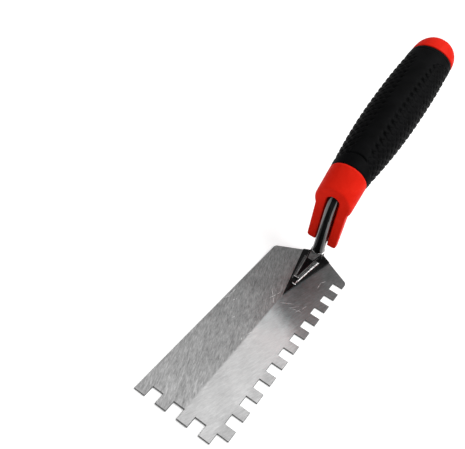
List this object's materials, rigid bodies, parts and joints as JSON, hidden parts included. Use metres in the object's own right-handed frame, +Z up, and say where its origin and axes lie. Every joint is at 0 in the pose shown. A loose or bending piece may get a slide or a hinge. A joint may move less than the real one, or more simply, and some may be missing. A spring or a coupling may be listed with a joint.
{
  "type": "notched trowel",
  "caption": "Narrow margin trowel with a square-notched front edge and side, a welded foot, a bent round tang, a forked finger guard and a soft-grip handle.",
  "frame": {"origin": "centre of the blade's flat underside", "axes": "+Z up, away from the working surface; +Y from the toothed front edge towards the handle; +X towards the notched side"},
  "size_m": [0.0508, 0.2576, 0.1227],
  "materials": {
    "ground_steel": "ground with fine slanting scratches",
    "black_lacquer": "gloss black lacquer",
    "red_plastic": "satin",
    "core_plastic": "satin, hidden",
    "soft_grip": "matt, with scale texture at the sides"
  },
  "bodies": {
    "root": {"blade": "ground_steel", "foot": "black_lacquer", "tang_rod": "black_lacquer", "guard_collar": "red_plastic", "handle_core": "core_plastic", "grip_sleeve": "soft_grip", "end_cap": "red_plastic"}
  },
  "joints": []
}
